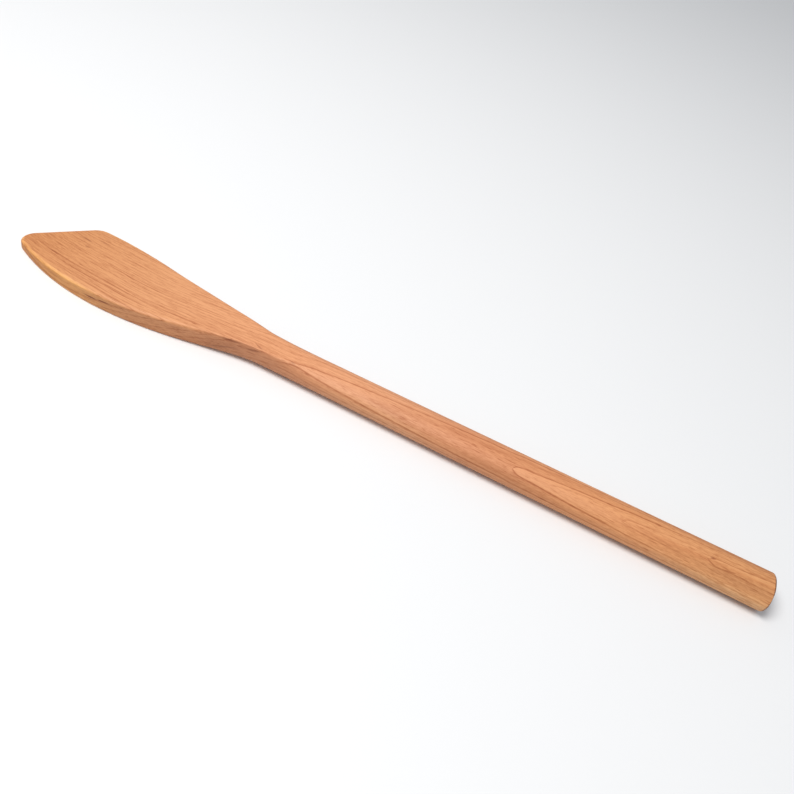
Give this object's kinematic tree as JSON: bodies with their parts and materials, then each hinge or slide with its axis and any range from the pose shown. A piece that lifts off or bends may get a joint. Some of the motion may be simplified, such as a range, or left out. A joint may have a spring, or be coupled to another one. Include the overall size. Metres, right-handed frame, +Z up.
{
  "type": "wooden spatula",
  "caption": "Slim one-piece wooden cooking spatula with an oval handle, a bellied edge, a straight edge and a slanted flat tip.",
  "frame": {"origin": "on the flat back, under the handle's centre line, midway between the butt end and the long corner of the tip", "axes": "+X along the length from the tip to the butt end, +Z up out of the flat back towards the top face, +Y towards the blade's straight edge and -Y towards its bellied edge"},
  "size_m": [0.33, 0.0395, 0.0125],
  "materials": {
    "cherry_wood": "oiled satin, hand-sanded, fine straight grain along the length"
  },
  "bodies": {
    "root": {"spatula": "cherry_wood"}
  },
  "joints": []
}
